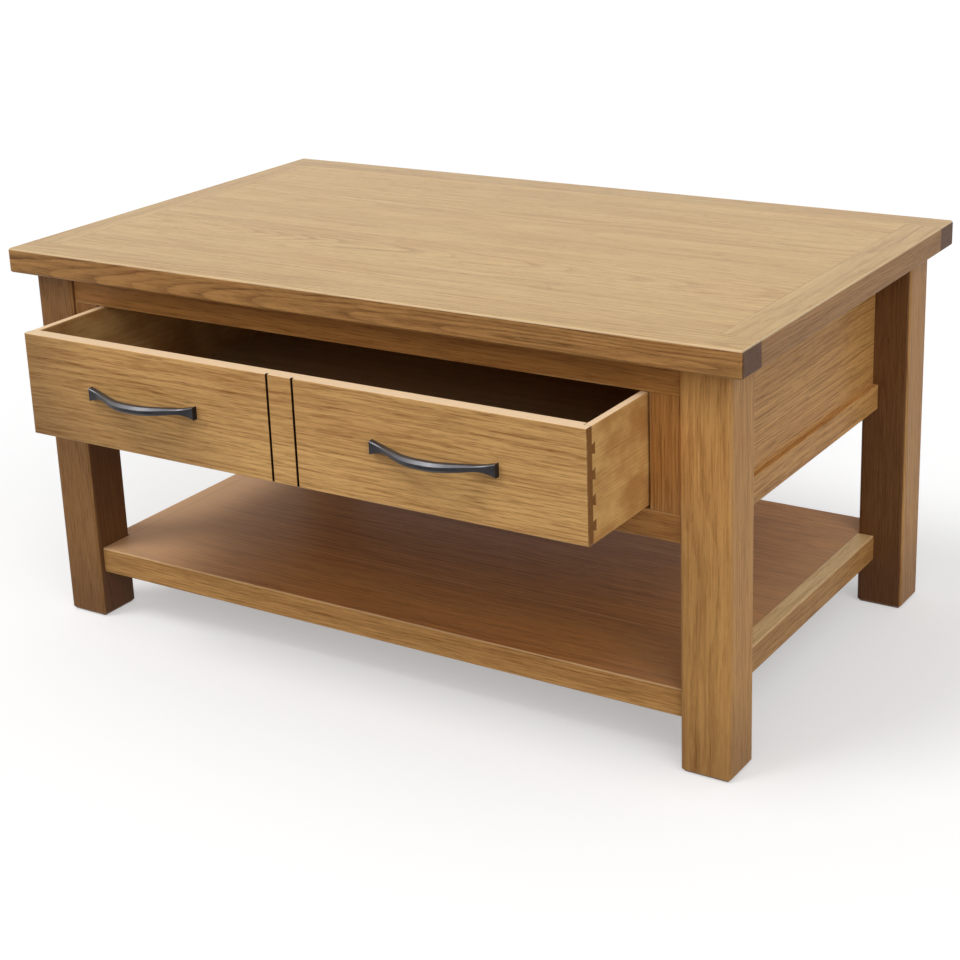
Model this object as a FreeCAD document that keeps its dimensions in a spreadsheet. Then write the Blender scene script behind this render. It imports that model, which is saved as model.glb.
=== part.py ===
import FreeCAD, Part
import math
import os
import re
import Sketcher

# Oak coffee table with one wide drawer and a lower shelf, in millimetres.
# X runs along the length, Y from the drawer side to the back, Z up from the floor.

SIZES = {
    # Table top
    "top_length": 900,
    "top_depth": 544,
    "table_height": 444,
    "top_thick": 28,
    "top_overhang": 20,
    "top_rail_width": 40,
    "top_edge_round": 3,
    "tongue_thick": 8,
    "tongue_length": 8,
    "end_tenon_width": 24,
    "end_tenon_length": 20,
    # Legs
    "leg_side": 53,
    "leg_edge_round": 4.5,
    "foot_chamfer": 3.5,
    # Face frame, side aprons and rear apron
    "front_recess": 4,
    "frame_thick": 20,
    "front_top_rail_height": 32,
    "opening_height": 117,
    "lower_rail_height": 29,
    "stile_width": 32,
    "side_recess": 34,
    "back_recess": 4,
    "panel_set_back": 6,
    "panel_tongue": 6,
    "panel_shoulder": 2,
    "tenon_length": 25,
    "side_tenon_length": 20,
    "tenon_shoulder": 4,
    "stile_tenon": 6,
    "mortise_relief": 1,
    "arris_round": 1.2,
    # Shelf
    "shelf_height": 85,
    "shelf_rail_height": 30,
    "shelf_rail_thick": 20,
    "shelf_recess": 7,
    "shelf_board_thick": 15,
    "shelf_tongue_thick": 6,
    "shelf_tongue_length": 6,
    "shelf_edge_round": 2,
    # Drawer box
    "drawer_open": 114,
    "drawer_rear_room": 40,
    "drawer_front_thick": 15,
    "drawer_side_thick": 8,
    "drawer_side_gap": 2.5,
    "drawer_top_gap": 1,
    "drawer_bottom_gap": 3.5,
    "drawer_edge_round": 1,
    "tail_length": 6,
    "pin_pitch": 24.5,
    "pin_drop": 2.4,
    "pin_base": 12,
    "pin_tip": 8,
    "back_thick": 10,
    "back_inset": 12,
    "back_dado": 3,
    "back_drop": 8,
    "bottom_thick": 5,
    "bottom_rise": 4.5,
    "bottom_groove": 4,
    "face_groove_place": 15.5,
    "face_groove_width": 3,
    "face_groove_depth": 3,
    # Pulls and their screws
    "pull_length": 141,
    "pull_reach": 28,
    "pull_rise": 2.5,
    "pull_foot_height": 14,
    "pull_foot_depth": 6.5,
    "pull_foot_bevel": 0.8,
    "pull_waist_height": 6,
    "pull_bow_height": 9,
    "pull_bow_depth": 11,
    "pull_bow_bevel": 2.8,
    "pull_trim": 0.5,
    "pull_hole_pitch": 128,
    "pull_screw_radius": 2,
    "pull_screw_grip": 4.5,
    "pull_screw_head_radius": 4,
    "pull_screw_head_height": 2.4,
    # Runners, guides, kickers and stops
    "run_gap": 0.3,
    "runner_reach": 20,
    "runner_thick": 20,
    "stub_length": 8,
    "stub_drop": 8,
    "stub_thick": 7,
    "stub_inset": 10,
    "guide_height": 28,
    "kicker_width": 50,
    "stop_gap": 0.3,
    "stop_length": 20,
    "stop_height": 15,
    # Wood screws
    "top_screw_radius": 2.2,
    "top_screw_head_radius": 4.5,
    "top_screw_head_height": 3,
    "top_screw_grip": 14,
    "top_screw_counterbore": 15,
    "bottom_screw_radius": 1.5,
    "bottom_screw_head_radius": 3,
    "bottom_screw_head_height": 2,
    "bottom_screw_grip": 16,
    "hole_clearance": 0.25,
    "thread_clearance": 0.1,
    "cut_overrun": 2,
}

TOP_BOARDS = 5
SHELF_BOARDS = 5
PINS = 4
SCREWED_BOARDS = (0, 2, 4)
BOTTOM_SCREW_SHARES = (-0.8, 0, 0.8)

# How far out on each half of the drawer front a pull sits
PULL_SPREAD_SHARE = 0.524

# Stations along half a pull, from its middle to its end, as shares of the half length
PULL_PLACE_SHARES = (0, 0.14, 0.28, 0.42, 0.56, 0.7, 0.82, 0.92, 1)
PULL_FLAT_SHARE = 0.93
PULL_WAIST_SHARE = 0.7

# The power that bends the curve of a bow; above one it makes the bow's middle fuller
PULL_FULLNESS = 1.25

LEFT = FRONT = -1
RIGHT = REAR = 1
SIDES = {LEFT: "left", RIGHT: "right"}
ENDS = {FRONT: "front", REAR: "rear"}
END_FACES = {FRONT: "front", REAR: "back"}
TOWARDS_FRONT = FreeCAD.Rotation(FreeCAD.Vector(1, 0, 0), 90)
TOWARDS_REAR = FreeCAD.Rotation(FreeCAD.Vector(1, 0, 0), -90)
UPWARDS = FreeCAD.Rotation()
SAME_PLACE = 1e-6

# How a sketch numbers the ends of its lines, its origin and its axes
WHOLE_LINE, LINE_START, LINE_END = range(3)
SKETCH_X_AXIS, SKETCH_Y_AXIS = range(-1, -3, -1)
SKETCH_ORIGIN = (SKETCH_X_AXIS, LINE_START)

doc = FreeCAD.newDocument("CoffeeTable")
sheet = doc.addObject("Spreadsheet::Sheet", "Sizes")
for row, (alias, number) in enumerate(SIZES.items(), start=1):
    sheet.set(f"A{row}", alias)
    sheet.set(f"B{row}", str(number))
    sheet.setAlias(f"B{row}", alias)
doc.recompute()

subparts = []

# Derived places, as expressions of the sheet's names. Those named half, in and out are distances
# from the table's middle.
half_length = "(top_length / 2)"
half_depth = "(top_depth / 2)"
panel_half_x = f"({half_length} - top_rail_width)"
panel_half_y = f"({half_depth} - top_rail_width)"
under_top = "(table_height - top_thick)"
leg_out_x = f"({half_length} - top_overhang)"
leg_in_x = f"({leg_out_x} - leg_side)"
leg_out_y = f"({half_depth} - top_overhang)"
leg_in_y = f"({leg_out_y} - leg_side)"
opening_top = f"({under_top} - front_top_rail_height)"
opening_bottom = f"({opening_top} - opening_height)"
apron_bottom = f"({opening_bottom} - lower_rail_height)"
opening_half = f"({leg_in_x} - stile_width)"
frame_out_y = f"({leg_out_y} - front_recess)"
frame_in_y = f"({frame_out_y} - frame_thick)"
side_thick = "(leg_side - side_recess)"
side_out_x = f"({leg_in_x} + {side_thick})"
back_out_y = f"({leg_out_y} - back_recess)"
back_in_y = f"({back_out_y} - {side_thick})"
shelf_bottom = "(shelf_height - shelf_rail_height)"
shelf_out_y = f"({leg_out_y} - shelf_recess)"
shelf_in_y = f"({shelf_out_y} - shelf_rail_thick)"
drawer_half = f"({opening_half} - drawer_side_gap)"
drawer_in_x = f"({drawer_half} - drawer_side_thick)"
drawer_low = f"({opening_bottom} + drawer_bottom_gap)"
drawer_high = f"({opening_top} - drawer_top_gap)"
drawer_mid = f"(({drawer_low} + {drawer_high}) / 2)"
drawer_face = f"(-{frame_out_y} - drawer_open)"
front_inner = f"({drawer_face} + drawer_front_thick)"
tail_tip = f"({front_inner} - tail_length)"
drawer_end = f"({back_in_y} - drawer_rear_room - drawer_open)"
back_rear = f"({drawer_end} - back_inset)"
back_front = f"({back_rear} - back_thick)"
bottom_low = f"({drawer_low} + bottom_rise)"
bottom_high = f"({bottom_low} + bottom_thick)"
back_high = f"({drawer_high} - back_drop)"
runner_top = f"({drawer_low} - run_gap)"
runner_low = f"({runner_top} - runner_thick)"
runner_in_x = f"({opening_half} - runner_reach)"
kicker_in_x = f"({leg_in_x} - kicker_width)"
kicker_mid_x = f"({leg_in_x} - kicker_width / 2)"
stop_front = f"({back_in_y} - drawer_rear_room + stop_gap)"
screw_seat = f"({opening_top} + top_screw_counterbore)"
pull_gap = "(pull_reach - pull_bow_depth)"
pull_place = f"({PULL_SPREAD_SHARE} * {drawer_half})"
pull_level = f"({drawer_mid} + pull_rise)"

# The origin lies on the floor under the middle of the whole part, with the drawer open as at rest
origin_shift = "((drawer_open + pull_reach - top_overhang - front_recess) / 2)"


def bind(thing, prop, text):
    """Binds a property to an expression written with the sheet's names."""
    thing.setExpression(prop, re.sub(r"\b[a-z]\w*", lambda name: f"Sizes.{name.group()}", text))


def place(thing, x, y, z):
    """Puts a feature or a sub-part at a point."""
    for axis, text in zip("xyz", (x, y, z)):
        bind(thing, f"Placement.Base.{axis}", text)


def stand(thing, x, y, z):
    """Puts a sub-part at a point given from the table's middle."""
    place(thing, x, f"{y} + {origin_shift}", z)


def span(side, near, far):
    """The low and high end of a stretch on one side of the middle."""
    return (near, far) if side > 0 else (f"(-{far})", f"(-{near})")


def both(half):
    """A stretch that lies evenly about the middle."""
    return (f"(-{half})", half)


def inset(stretch, amount):
    """A stretch made shorter at both ends."""
    return (f"({stretch[0]} + {amount})", f"({stretch[1]} - {amount})")


def about(middle, width):
    """A stretch of a given width about a place."""
    return (f"({middle} - {width} / 2)", f"({middle} + {width} / 2)")


def beyond(side, start, length):
    """A stretch that starts at a distance from the middle and runs outwards."""
    return span(side, start, f"({start} + {length})")


def strip(half, index, count):
    """One of several equal strips between minus half and half."""
    edges = [f"({half} * (2 * {index + step} / {count} - 1))" for step in (0, 1)]
    return tuple(edges)


def length_of(stretch):
    return f"({stretch[1]} - {stretch[0]})"


def new_body(label):
    """A new sub-part."""
    body = doc.addObject("PartDesign::Body", label)
    body.Label = label
    subparts.append(body)
    return body


def outline(body, role, corners):
    """A sketch of straight lines through corners on one of the body's planes."""
    sketch = body.newObject("Sketcher::SketchObject", "Outline")
    plane = next(feature for feature in body.Origin.OriginFeatures if feature.Role == role)
    sketch.AttachmentSupport = [(plane, "")]
    sketch.MapMode = "FlatFace"
    points = [FreeCAD.Vector(*corner) for corner in corners]
    for line, start in enumerate(points):
        following = (line + 1) % len(points)
        sketch.addGeometry(Part.LineSegment(start, points[following]))
    for line in range(len(points)):
        following = (line + 1) % len(points)
        sketch.addConstraint(Sketcher.Constraint("Coincident", line, LINE_END, following, LINE_START))
    return sketch


def measure(sketch, name, size, *ends):
    """A sketch dimension bound to an expression."""
    index = sketch.addConstraint(Sketcher.Constraint(*ends, 1))
    sketch.renameConstraint(index, name)
    bind(sketch, f"Constraints.{name}", size)


def rectangle(body, size):
    """A sketched rectangle from the origin of the body's floor plane."""
    sketch = outline(body, "XY_Plane", ((0, 0), (1, 0), (1, 1), (0, 1)))
    for line, direction in enumerate(("Horizontal", "Vertical", "Horizontal", "Vertical")):
        sketch.addConstraint(Sketcher.Constraint(direction, line))
    sketch.addConstraint(Sketcher.Constraint("Coincident", 0, LINE_START, *SKETCH_ORIGIN))
    for line, name in enumerate(("wide", "high")):
        measure(sketch, name, size[line], "Distance", line)
    return sketch


def bevelled(body, low, size, bevel, offset):
    """A sketched rectangle with bevelled corners, upright across the body at an offset along X."""
    outer_low, inner_low, inner_high, outer_high = range(4)
    unit_corners = (
        (inner_low, outer_low),
        (inner_high, outer_low),
        (outer_high, inner_low),
        (outer_high, inner_high),
        (inner_high, outer_high),
        (inner_low, outer_high),
        (outer_low, inner_high),
        (outer_low, inner_low),
    )
    sketch = outline(body, "YZ_Plane", unit_corners)
    for axis, text in zip("xyz", (low[0], low[1], offset)):
        bind(sketch, f"AttachmentOffset.Base.{axis}", text)
    bottom, rear_low, rear, rear_high, top_line, front_high, front, front_low = range(len(unit_corners))
    for direction, lines in (("Horizontal", (bottom, top_line)), ("Vertical", (rear, front))):
        for line in lines:
            sketch.addConstraint(Sketcher.Constraint(direction, line))
    sketch.addConstraint(Sketcher.Constraint("PointOnObject", bottom, LINE_START, SKETCH_X_AXIS))
    sketch.addConstraint(Sketcher.Constraint("PointOnObject", front, LINE_START, SKETCH_Y_AXIS))
    measure(sketch, "wide", f"{size[0]} - 2 * {bevel}", "Distance", bottom)
    measure(sketch, "high", f"{size[1]} - 2 * {bevel}", "Distance", rear)
    corners = {
        "rear_low": (rear_low, LINE_START, LINE_END, LINE_START, LINE_END),
        "rear_high": (rear_high, LINE_END, LINE_START, LINE_START, LINE_END),
        "front_high": (front_high, LINE_END, LINE_START, LINE_END, LINE_START),
        "front_low": (front_low, LINE_START, LINE_END, LINE_END, LINE_START),
    }
    for name, (line, left, right, low_end, high_end) in corners.items():
        measure(sketch, f"{name}_across", bevel, "DistanceX", line, left, line, right)
        measure(sketch, f"{name}_up", bevel, "DistanceY", line, low_end, line, high_end)
    return sketch


def edges_where(shape, test):
    """Names of the edges whose ends all pass a test."""
    names = []
    for number, edge in enumerate(shape.Edges, start=1):
        if all(test(vertex.Point) for vertex in edge.Vertexes):
            names.append(f"Edge{number}")
    return names


def block_edges(shape, wanted):
    """Names of a block's edges, each given by the two faces that meet there, as in 'front top'."""
    box = shape.BoundBox
    faces = {
        "left": (0, box.XMin),
        "right": (0, box.XMax),
        "front": (1, box.YMin),
        "back": (1, box.YMax),
        "bottom": (2, box.ZMin),
        "top": (2, box.ZMax),
    }
    names = []
    for words in wanted:
        planes = [faces[word] for word in words.split()]
        names += edges_where(shape, lambda p: all(abs(p[i] - level) < SAME_PLACE for i, level in planes))
    return names


def dress(body, kind, base, edges, prop, size):
    """Rounds or chamfers chosen edges."""
    feature = body.newObject(kind, "Eased")
    feature.Base = (base, edges)
    bind(feature, prop, size)
    doc.recompute()
    return feature


def block(body, kind, corner, spans):
    """Adds or cuts a block, given by its stretches, in a body whose own origin is at corner."""
    feature = body.newObject(kind, "Block")
    for prop, stretch in zip(("Length", "Width", "Height"), spans):
        bind(feature, prop, length_of(stretch))
    place(feature, *(f"{stretch[0]} - {start}" for stretch, start in zip(spans, corner)))


def bore(body, corner, at, turn, radius, depth):
    """Drills a round hole from a point, in a body whose own origin is at corner."""
    feature = body.newObject("PartDesign::SubtractiveCylinder", "Hole")
    feature.Placement.Rotation = turn
    bind(feature, "Radius", radius)
    bind(feature, "Height", depth)
    place(feature, *(f"{spot} - {start}" for spot, start in zip(at, corner)))


def board(label, spans, edges=(), radius="arris_round", add=(), cut=()):
    """A board given by its stretches along X, Y and Z, with eased edges, tenons and mortises."""
    body = new_body(label)
    corner = [stretch[0] for stretch in spans]
    stand(body, *corner)
    pad = body.newObject("PartDesign::Pad", "Board")
    pad.Profile = rectangle(body, [length_of(stretch) for stretch in spans[:2]])
    bind(pad, "Length", length_of(spans[2]))
    doc.recompute()
    if edges:
        dress(body, "PartDesign::Fillet", pad, block_edges(pad.Shape, edges), "Radius", radius)
    for tenon in add:
        block(body, "PartDesign::AdditiveBox", corner, tenon)
    for mortise in cut:
        block(body, "PartDesign::SubtractiveBox", corner, mortise)
    return body, corner


# Stretches that more than one piece shares
front_y = span(FRONT, frame_in_y, frame_out_y)
back_rail_y = span(REAR, back_in_y, back_out_y)
back_panel_y = span(REAR, back_in_y, f"({back_out_y} - panel_set_back)")
lower_rail_y = {FRONT: front_y, REAR: back_rail_y}
top_z = (under_top, "table_height")
top_tongue_z = about(f"({under_top} + top_thick / 2)", "tongue_thick")
top_rail_z = (opening_top, under_top)
lower_rail_z = (apron_bottom, opening_bottom)
panel_z = (opening_bottom, under_top)
shelf_rail_z = (shelf_bottom, "shelf_height")
shelf_board_z = ("(shelf_height - shelf_board_thick)", "shelf_height")
shelf_tongue_z = about("(shelf_height - shelf_board_thick / 2)", "shelf_tongue_thick")
drawer_z = (drawer_low, drawer_high)
bottom_z = (bottom_low, bottom_high)
runner_y = (f"(-{frame_in_y})", back_in_y)
side_rail_x = {side: span(side, leg_in_x, side_out_x) for side in SIDES}
side_panel_x = {side: span(side, leg_in_x, f"({side_out_x} - panel_set_back)") for side in SIDES}
shelf_rail_y = {end: span(end, shelf_in_y, shelf_out_y) for end in ENDS}
end_tenon_x = {
    side: span(side, *about(f"({half_length} - top_rail_width / 2)", "end_tenon_width")) for side in SIDES
}


def tenon_along_x(side, y, z, relief="0"):
    """A lengthwise rail's tenon in a leg, or with relief the mortise that takes it."""
    x = beyond(side, leg_in_x, f"(tenon_length + {relief})")
    return (x, inset(y, "tenon_shoulder"), inset(z, "tenon_shoulder"))


def tenon_along_y(end, x, z, relief="0"):
    """A side rail's tenon in a leg, or with relief the mortise that takes it."""
    y = beyond(end, leg_in_y, f"(side_tenon_length + {relief})")
    return (inset(x, "tenon_shoulder"), y, inset(z, "tenon_shoulder"))


def side_panel_tongue(side, end):
    """A side panel's tongue in a leg."""
    return (inset(side_panel_x[side], "panel_shoulder"), beyond(end, leg_in_y, "panel_tongue"), panel_z)


def back_panel_tongue(side):
    """The rear panel's tongue in a leg."""
    return (beyond(side, leg_in_x, "panel_tongue"), inset(back_panel_y, "panel_shoulder"), panel_z)


def foot_tongue(x, y):
    """A panel's tongue in the lower rail under it."""
    return (x, y, (f"({opening_bottom} - panel_tongue)", opening_bottom))


def end_rail_tenon(side, end, relief="0"):
    """The tenon of an end rail of the top in a long rail."""
    return (end_tenon_x[side], beyond(end, panel_half_y, f"(end_tenon_length + {relief})"), top_tongue_z)


def top_edge_tongue(end):
    """The long tongue of the outermost board of the top."""
    return (both(panel_half_x), beyond(end, panel_half_y, "tongue_length"), top_tongue_z)


def shelf_edge_tongue(end):
    """The long tongue of the outermost board of the shelf."""
    return (both(leg_in_x), beyond(end, shelf_in_y, "shelf_tongue_length"), shelf_tongue_z)


def stile_tenon(side, level):
    """The tenon of a stile in the rail above or below it."""
    x = inset(span(side, opening_half, leg_in_x), "tenon_shoulder")
    z = {"top": (opening_top, f"({opening_top} + stile_tenon)")}
    z["bottom"] = (f"({opening_bottom} - stile_tenon)", opening_bottom)
    return (x, inset(front_y, "tenon_shoulder"), z[level])


def runner_stub(side, end):
    """The stub tenon of a runner in the lower rail at its end."""
    x = inset(span(side, runner_in_x, leg_in_x), "stub_inset")
    y = beyond(end, {FRONT: frame_in_y, REAR: back_in_y}[end], "stub_length")
    high = f"({opening_bottom} - stub_drop)"
    return (x, y, (f"({high} - stub_thick)", high))


def top():
    """The table top: two long rails, two end rails and the boards between them."""
    for end, name in ENDS.items():
        face = END_FACES[end]
        edges = [f"{face} top", f"{face} bottom"]
        edges += [f"{side} {other}" for side in SIDES.values() for other in ("top", "bottom", face)]
        board(
            f"top_{name}_rail",
            (both(half_length), span(end, panel_half_y, half_depth), top_z),
            edges,
            "top_edge_round",
            cut=[top_edge_tongue(end)] + [end_rail_tenon(side, end, "mortise_relief") for side in SIDES],
        )
    for side, name in SIDES.items():
        board(
            f"top_{name}_end_rail",
            (span(side, panel_half_x, half_length), both(panel_half_y), top_z),
            [f"{name} top", f"{name} bottom"],
            "top_edge_round",
            add=[end_rail_tenon(side, end) for end in ENDS],
            cut=[(beyond(side, panel_half_x, "tongue_length"), both(panel_half_y), top_tongue_z)],
        )
    for index in range(TOP_BOARDS):
        y = strip(panel_half_y, index, TOP_BOARDS)
        tongues = [(beyond(side, panel_half_x, "tongue_length"), y, top_tongue_z) for side in SIDES]
        if index == 0:
            tongues.append(top_edge_tongue(FRONT))
        if index == TOP_BOARDS - 1:
            tongues.append(top_edge_tongue(REAR))
        body, corner = board(f"top_board_{index + 1}", (both(panel_half_x), y, top_z), add=tongues)
        if index in SCREWED_BOARDS:
            for x, spot_y in top_screw_places(index):
                radius = "top_screw_radius + thread_clearance"
                bore(body, corner, (x, spot_y, under_top), UPWARDS, radius, "top_screw_grip")


def top_screw_places(index):
    """Where the screws enter one board of the top from below."""
    y = strip(panel_half_y, index, TOP_BOARDS)
    return [(f"({side} * {kicker_mid_x})", f"(({y[0]} + {y[1]}) / 2)") for side in SIDES]


def legs():
    """Four square legs with mortises for the rails and grooves for the panels."""
    upright = ["left front", "right front", "left back", "right back"]
    for end, end_name in ENDS.items():
        for side, side_name in SIDES.items():
            relief = "mortise_relief"
            cuts = [
                tenon_along_x(side, lower_rail_y[end], lower_rail_z, relief),
                tenon_along_y(end, side_rail_x[side], lower_rail_z, relief),
                tenon_along_x(side, shelf_rail_y[end], shelf_rail_z, relief),
                tenon_along_y(end, side_rail_x[side], shelf_rail_z, relief),
                side_panel_tongue(side, end),
            ]
            if end == FRONT:
                cuts.append(tenon_along_x(side, front_y, top_rail_z, relief))
            else:
                cuts.append(back_panel_tongue(side))
            spans = (span(side, leg_in_x, leg_out_x), span(end, leg_in_y, leg_out_y), ("0", under_top))
            body, corner = board(f"leg_{end_name}_{side_name}", spans, upright, "leg_edge_round")
            foot = edges_where(body.Tip.Shape, lambda point: abs(point.z) < SAME_PLACE)
            dress(body, "PartDesign::Chamfer", body.Tip, foot, "Size", "foot_chamfer")
            for cut in cuts:
                block(body, "PartDesign::SubtractiveBox", corner, cut)


def face_frame():
    """The front frame round the drawer: two rails and two stiles."""
    x = both(leg_in_x)
    board(
        "front_top_rail",
        (x, front_y, top_rail_z),
        add=[tenon_along_x(side, front_y, top_rail_z) for side in SIDES],
        cut=[stile_tenon(side, "top") for side in SIDES],
    )
    board(
        "front_bottom_rail",
        (x, front_y, lower_rail_z),
        ["front bottom", "back bottom"],
        add=[tenon_along_x(side, front_y, lower_rail_z) for side in SIDES],
        cut=[stile_tenon(side, "bottom") for side in SIDES] + [runner_stub(side, FRONT) for side in SIDES],
    )
    for side, name in SIDES.items():
        board(
            f"front_{name}_stile",
            (span(side, opening_half, leg_in_x), front_y, (opening_bottom, opening_top)),
            add=[stile_tenon(side, level) for level in ("top", "bottom")],
        )


def aprons():
    """The panel and lower rail of each side and of the back."""
    for side, name in SIDES.items():
        groove = foot_tongue(inset(side_panel_x[side], "panel_shoulder"), both(leg_in_y))
        board(
            f"{name}_side_panel",
            (side_panel_x[side], both(leg_in_y), panel_z),
            add=[side_panel_tongue(side, end) for end in ENDS] + [groove],
        )
        board(
            f"{name}_side_rail",
            (side_rail_x[side], both(leg_in_y), lower_rail_z),
            [f"{name} top", f"{name} bottom"],
            add=[tenon_along_y(end, side_rail_x[side], lower_rail_z) for end in ENDS],
            cut=[groove],
        )
    groove = foot_tongue(both(leg_in_x), inset(back_panel_y, "panel_shoulder"))
    board(
        "rear_panel",
        (both(leg_in_x), back_panel_y, panel_z),
        add=[back_panel_tongue(side) for side in SIDES] + [groove],
    )
    board(
        "rear_rail",
        (both(leg_in_x), back_rail_y, lower_rail_z),
        ["back top", "back bottom"],
        add=[tenon_along_x(side, back_rail_y, lower_rail_z) for side in SIDES],
        cut=[groove] + [runner_stub(side, REAR) for side in SIDES],
    )


def shelf():
    """The lower shelf: four rails with boards flush between them."""
    for end, name in ENDS.items():
        board(
            f"shelf_{name}_rail",
            (both(leg_in_x), shelf_rail_y[end], shelf_rail_z),
            [f"{END_FACES[end]} top", f"{END_FACES[end]} bottom"],
            "shelf_edge_round",
            add=[tenon_along_x(side, shelf_rail_y[end], shelf_rail_z) for side in SIDES],
            cut=[shelf_edge_tongue(end)],
        )
    for side, name in SIDES.items():
        board(
            f"shelf_{name}_rail",
            (side_rail_x[side], both(leg_in_y), shelf_rail_z),
            [f"{name} top", f"{name} bottom"],
            "shelf_edge_round",
            add=[tenon_along_y(end, side_rail_x[side], shelf_rail_z) for end in ENDS],
            cut=[(beyond(side, leg_in_x, "shelf_tongue_length"), both(leg_in_y), shelf_tongue_z)],
        )
    for index in range(SHELF_BOARDS):
        y = strip(shelf_in_y, index, SHELF_BOARDS)
        reach = list(y)
        long_tongues = []
        if index == 0:
            reach[0] = f"(-{leg_in_y})"
            long_tongues.append(shelf_edge_tongue(FRONT))
        if index == SHELF_BOARDS - 1:
            reach[1] = leg_in_y
            long_tongues.append(shelf_edge_tongue(REAR))
        tongues = [(beyond(side, leg_in_x, "shelf_tongue_length"), reach, shelf_tongue_z) for side in SIDES]
        board(f"shelf_board_{index + 1}", (both(leg_in_x), y, shelf_board_z), add=tongues + long_tongues)


def pins(body, kind, corner, side):
    """The dovetail pins at one end of the drawer front, or the sockets for them in a drawer side."""
    x = span(side, drawer_in_x, drawer_half)
    for index in range(PINS):
        middle = f"({drawer_mid} - pin_drop + pin_pitch * ({index} - ({PINS} - 1) / 2))"
        wedge = body.newObject(kind, "Pin")
        ends = {
            "Xmin": "0",
            "X2min": "0",
            "Xmax": "drawer_side_thick",
            "X2max": "drawer_side_thick",
            "Ymin": "0",
            "Ymax": "tail_length",
            "Zmin": "-pin_tip / 2",
            "Zmax": "pin_tip / 2",
            "Z2min": "-pin_base / 2",
            "Z2max": "pin_base / 2",
        }
        for prop, text in ends.items():
            bind(wedge, prop, text)
        place(wedge, f"{x[0]} - {corner[0]}", f"{tail_tip} - {corner[1]}", f"{middle} - {corner[2]}")


def drawer():
    """The drawer box: front, two sides, back and bottom."""
    groove_y = (f"({front_inner} - bottom_groove)", front_inner)
    sockets = [(span(side, drawer_in_x, drawer_half), (tail_tip, front_inner), drawer_z) for side in SIDES]
    face_grooves = [
        (
            about(f"({side} * face_groove_place)", "face_groove_width"),
            (drawer_face, f"({drawer_face} + face_groove_depth)"),
            drawer_z,
        )
        for side in SIDES
    ]
    front, corner = board(
        "drawer_front",
        (both(drawer_half), (drawer_face, front_inner), drawer_z),
        ["front top", "front bottom", "left front", "right front"],
        "drawer_edge_round",
        cut=sockets + face_grooves + [(both(drawer_in_x), groove_y, bottom_z)],
    )
    for side in SIDES:
        pins(front, "PartDesign::AdditiveWedge", corner, side)
    for x in pull_screw_places():
        radius = "pull_screw_radius + hole_clearance"
        bore(front, corner, (x, drawer_face, pull_level), TOWARDS_REAR, radius, "drawer_front_thick")
    for side, name in SIDES.items():
        groove = (beyond(side, drawer_in_x, "bottom_groove"), (groove_y[0], drawer_end), bottom_z)
        dado = (beyond(side, drawer_in_x, "back_dado"), (back_front, back_rear), (bottom_high, back_high))
        body, corner = board(
            f"drawer_{name}_side",
            (span(side, drawer_in_x, drawer_half), (tail_tip, drawer_end), drawer_z),
            ["left top", "right top"],
            "drawer_edge_round",
            cut=[groove, dado],
        )
        pins(body, "PartDesign::SubtractiveWedge", corner, side)
    back, back_corner = board(
        "drawer_back",
        (both(f"({drawer_in_x} + back_dado)"), (back_front, back_rear), (bottom_high, back_high)),
    )
    bottom, bottom_corner = board(
        "drawer_bottom",
        (both(f"({drawer_in_x} + bottom_groove)"), (groove_y[0], back_rear), bottom_z),
    )
    for x, y in bottom_screw_places():
        radius = "bottom_screw_radius + thread_clearance"
        bore(back, back_corner, (x, y, bottom_high), UPWARDS, radius, "bottom_screw_grip")
        radius = "bottom_screw_radius + hole_clearance"
        bore(bottom, bottom_corner, (x, y, bottom_low), UPWARDS, radius, "bottom_thick")


def pull_screw_places():
    """Where the screws of both pulls stand along the drawer front."""
    return [f"({side} * {pull_place} + {hand} * pull_hole_pitch / 2)" for side in SIDES for hand in SIDES]


def bottom_screw_places():
    """Where screws hold the drawer bottom to the drawer back."""
    middle = f"(({back_front} + {back_rear}) / 2)"
    return [(f"({share} * {drawer_in_x})", middle) for share in BOTTOM_SCREW_SHARES]


def pull_station(share):
    """The forward gap, depth, height and bevel of a pull at a share of its half length.

    Before its feet are trimmed flat, they reach a little into the drawer front.
    """
    rise = 0
    if share < PULL_FLAT_SHARE:
        rise = (1 + math.cos(math.pi * (share / PULL_FLAT_SHARE) ** PULL_FULLNESS)) / 2
    swell, thick = "pull_bow_height", 1 - (share / PULL_WAIST_SHARE) ** 2
    if share > PULL_WAIST_SHARE:
        swell, thick = "pull_foot_height", ((share - PULL_WAIST_SHARE) / (1 - PULL_WAIST_SHARE)) ** 2
    sink = f"({1 - rise:.5f} * pull_trim)"
    gap = f"({rise:.5f} * {pull_gap} - {sink})"
    depth = f"(pull_foot_depth + {rise:.5f} * (pull_bow_depth - pull_foot_depth) + {sink})"
    height = f"(pull_waist_height + {thick:.5f} * ({swell} - pull_waist_height))"
    bevel = f"(pull_foot_bevel + {rise:.5f} * (pull_bow_bevel - pull_foot_bevel))"
    return gap, depth, height, bevel


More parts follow.
